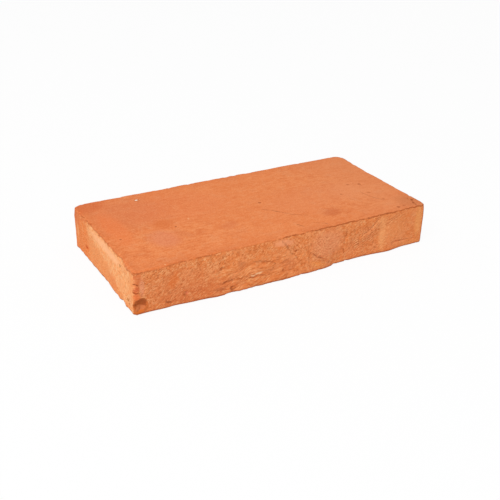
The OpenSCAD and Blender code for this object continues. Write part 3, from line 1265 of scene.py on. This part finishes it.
    def pocks(self) -> tuple[Pock, ...]:
        """Small holes and grains of grit."""
        front, wearing, header, tones = Face.FRONT, Face.WEARING, Face.HEADER, self.tones
        pale, darkest_pit_tone, dark_pit_tone, body = tones.pale, tones.darkest_pit_tone, tones.shade, tones.front
        return (
            # Painted shadow at the side of the white grain on the next line
            Pock(wearing, (-66.0, 40.6), 2.5, (192, 114, 70), 0.6, 0.2),
            Pock(wearing, (-66.6, 41.0), 1.15, (255, 240, 220), 0.9, 0.0),
            Pock(wearing, (-60.4, -7.6), 0.9, dark_pit_tone, 0.9, 0.2),
            Pock(wearing, (-48.3, -0.8), 0.9, pale, 0.5, 0.0),
            Pock(wearing, (78.5, 0.5), 1.4, dark_pit_tone, 0.45, 0.1),
            Pock(wearing, (86.6, -2.4), 1.6, dark_pit_tone, 0.55, 0.1),
            Pock(wearing, (64.4, -11.9), 1.4, dark_pit_tone, 0.45, 0.1),
            Pock(wearing, (83.5, -17.5), 1.5, dark_pit_tone, 0.35, 0.1),
            Pock(wearing, (86.3, -30.8), 1.4, dark_pit_tone, 0.35, 0.1),
            Pock(wearing, (5.8, 0.9), 1.4, dark_pit_tone, 0.7, 0.1),
            Pock(wearing, (-98.1, -9.2), 0.9, darkest_pit_tone, 0.5, 0.2),
            Pock(wearing, (-87.5, -50.1), 0.8, pale, 0.35, 0.0),
            Pock(wearing, (101.6, -37.6), 0.9, dark_pit_tone, 0.5, 0.2),
            Pock(wearing, (102.9, -40.9), 1.4, dark_pit_tone, 0.9, 0.2),
            Pock(wearing, (100.6, -45.3), 1.2, dark_pit_tone, 0.8, 0.2),
            Pock(front, (-50.9, 18.5), 1.7, dark_pit_tone, 0.65, 0.3),
            Pock(front, (-50.0, 18.3), 0.9, body, 0.8, 0.0),
            Pock(front, (-44.2, 4.0), 2.1, dark_pit_tone, 0.75, 0.4),
            Pock(front, (-43.2, 4.2), 1.0, (228, 134, 70), 0.8, 0.0),
            Pock(front, (-74.6, 7.8), 2.2, dark_pit_tone, 0.45, 0.2),
            Pock(front, (-74.0, 7.8), 1.4, (234, 132, 88), 0.8, 0.0),
            Pock(front, (2.0, 18.9), 1.0, dark_pit_tone, 0.9, 0.3),
            Pock(front, (-7.7, 7.8), 1.1, dark_pit_tone, 0.6, 0.2),
            Pock(front, (40.2, 10.2), 0.9, dark_pit_tone, 0.6, 0.2),
            Pock(front, (40.8, 8.4), 0.9, dark_pit_tone, 0.6, 0.2),
            Pock(header, (-29.6, 24.1), 1.4, (196, 138, 84), 0.85, 0.3),
            Pock(header, (-41.3, 7.3), 1.5, (186, 118, 62), 0.8, 0.3),
            Pock(header, (-43.4, 5.2), 1.0, (196, 120, 64), 0.7, 0.2),
        )

    def combings(self) -> tuple[Combing, ...]:
        """Combed patches, all of them on the front face."""
        front = Face.FRONT
        return (
            Combing(front, (23.0, 15.0), (12.0, 13.0), 0.0, (30.0, 27.0), 1.7, 0.45),
            Combing(front, (0.0, 23.0), (9.0, 6.0), -40.0, (60.0, 80.0), 1.9, 0.6),
            Combing(front, (58.0, 16.0), (17.0, 8.0), 32.0, (16.0, 84.0), 1.8, 0.6),
            Combing(front, (48.5, 12.0), (6.0, 6.0), 0.0, (52.0, 9.0), 1.7, 0.5),
            Combing(front, (82.0, 25.0), (12.0, 4.0), 22.0, (50.0, 100.0), 2.0, 0.5),
            Combing(front, (-28.0, 12.0), (30.0, 8.0), 6.0, (-12.0, -90.0), 2.8, 0.3),
        )

    def arrises(self) -> tuple[PaintedArrisShade, ...]:
        """Arrises darkened with painted shade."""
        return (
            PaintedArrisShade((1.0, 0.0, 1.0), 0.85),
            PaintedArrisShade((0.0, 1.0, 1.0), 0.75),
            PaintedArrisShade((1.0, -1.0, 0.0), 0.75),
            PaintedArrisShade((-1.0, 1.0, 0.0), 0.75),
        )

    def build(self) -> bpy.types.Object:
        """Makes the brick's skin, which stands for the solid.

        Returns:
            The skin.
        """
        low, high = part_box(self.node)
        lower, upper = Vector(low), Vector(high)
        half = (upper - lower) / (2 * MM)
        finish = FiredClay(
            self.tones, half, self.creases(), self.stains(), self.marks(), self.pocks(),
            self.combings(), self.arrises(),
        )
        skin = ClaySkin(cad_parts[self.node], lower, upper).build(finish)
        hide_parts(self.node)
        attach(skin, "root")
        LOG.info("%s: %d squares of clay skin", self.node, len(skin.data.polygons))
        return skin


@dataclass
class Studio:
    """Pale floor, soft light and the camera at the photograph's angle."""

    floor_half: float = 6.0
    camera_place: tuple[float, float, float] = (-261.67, -435.77, 257.91)
    azimuth: float = -30.896
    elevation: float = 27.276
    roll: float = 1.956
    focal_pixels: float = 830.8
    frame_pixels: float = 500.0

    def floor(self) -> bpy.types.Object:
        """A wide pale floor that shows white but keeps the brick's shadow.

        Returns:
            The floor.
        """
        reach = self.floor_half
        corners = [
            (-reach, -reach, 0.0),
            (reach, -reach, 0.0),
            (reach, reach, 0.0),
            (-reach, reach, 0.0),
        ]
        mesh = bpy.data.meshes.new("floor")
        mesh.from_pydata(corners, [], [(0, 1, 2, 3)])
        material = bpy.data.materials.new("pale_floor")
        bench = NodeBench(material)
        rays = bench.add("ShaderNodeLightPath")
        paper = bench.add("ShaderNodeBsdfDiffuse")
        paper.inputs["Color"].default_value = (0.88, 0.88, 0.88, 1.0)
        white = bench.add("ShaderNodeEmission")
        white.inputs["Strength"].default_value = 1.0
        seen = bench.sum("MAXIMUM", rays.outputs["Is Camera Ray"], rays.outputs["Is Glossy Ray"])
        mix = bench.add("ShaderNodeMixShader")
        bench.feed(mix.inputs[0], bench.times(seen, 0.93))
        bench.feed(mix.inputs[1], paper.outputs[0])
        bench.feed(mix.inputs[2], white.outputs[0])
        output = bench.add("ShaderNodeOutputMaterial")
        bench.feed(output.inputs[0], mix.outputs[0])
        mesh.materials.append(material)
        floor = bpy.data.objects.new("floor", mesh)
        bpy.context.scene.collection.objects.link(floor)
        return floor

    def lamp(self, name: str, place: Vector, aim: Vector, size: float, power: float) -> None:
        """Adds a soft square lamp.

        Args:
            name: Name of the lamp.
            place: Where it stands, in metres.
            aim: The point that it faces.
            size: Length of its side in metres.
            power: Its power in watts.
        """
        data = bpy.data.lights.new(name, "AREA")
        data.size = size
        data.energy = power
        lamp = bpy.data.objects.new(name, data)
        lamp.location = place
        lamp.rotation_euler = (aim - place).to_track_quat("-Z", "Y").to_euler()
        bpy.context.scene.collection.objects.link(lamp)

    def world(self) -> None:
        """Even light from all round, and a white background for the camera."""
        world = bpy.data.worlds.new("studio")
        world.use_nodes = True
        nodes, links = world.node_tree.nodes, world.node_tree.links
        nodes.clear()
        rays = nodes.new("ShaderNodeLightPath")
        lit = nodes.new("ShaderNodeBackground")
        lit.inputs["Color"].default_value = (1.0, 1.0, 1.0, 1.0)
        lit.inputs["Strength"].default_value = 0.60
        white = nodes.new("ShaderNodeBackground")
        white.inputs["Color"].default_value = (1.0, 1.0, 1.0, 1.0)
        mix = nodes.new("ShaderNodeMixShader")
        output = nodes.new("ShaderNodeOutputWorld")
        links.new(rays.outputs["Is Camera Ray"], mix.inputs[0])
        links.new(lit.outputs[0], mix.inputs[1])
        links.new(white.outputs[0], mix.inputs[2])
        links.new(mix.outputs[0], output.inputs[0])
        bpy.context.scene.world = world

    def camera(self) -> bpy.types.Object:
        """The camera, placed and turned as the photograph was taken.

        Returns:
            The camera.
        """
        turn, rise = math.radians(self.azimuth), math.radians(self.elevation)
        back = Vector((
            math.sin(turn) * math.cos(rise),
            -math.cos(turn) * math.cos(rise),
            math.sin(rise),
        ))
        level = (-back).cross(Vector((0.0, 0.0, 1.0))).normalized()
        upright = level.cross(-back)
        lean = math.radians(self.roll)
        right = level * math.cos(lean) + upright * math.sin(lean)
        up = upright * math.cos(lean) - level * math.sin(lean)
        matrix = Matrix((right, up, back)).transposed().to_4x4()
        matrix.translation = Vector(self.camera_place) * MM
        data = bpy.data.cameras.new("camera")
        data.sensor_width = 36.0
        data.lens = self.focal_pixels / self.frame_pixels * data.sensor_width
        data.clip_end = 50.0
        camera = bpy.data.objects.new("camera", data)
        camera.matrix_world = matrix
        bpy.context.scene.collection.objects.link(camera)
        bpy.context.scene.camera = camera
        return camera

    def build(self) -> None:
        """Sets up floor, light, background, camera and plain colours."""
        self.floor()
        self.world()
        middle = Vector((0.0, 0.0, 0.015))
        self.lamp("key", Vector((-0.85, -0.68, 1.3)), middle, 1.0, 17.0)
        self.camera()
        bpy.context.scene.view_settings.view_transform = "Standard"
        LOG.info("studio: floor, key lamp, world and camera")


def main() -> None:
    """Builds the brick and the studio."""
    logging.basicConfig(level=logging.INFO, format="%(name)s %(message)s")
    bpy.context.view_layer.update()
    FloorBrick().build()
    Studio().build()


if __name__ == "__main__":
    main()
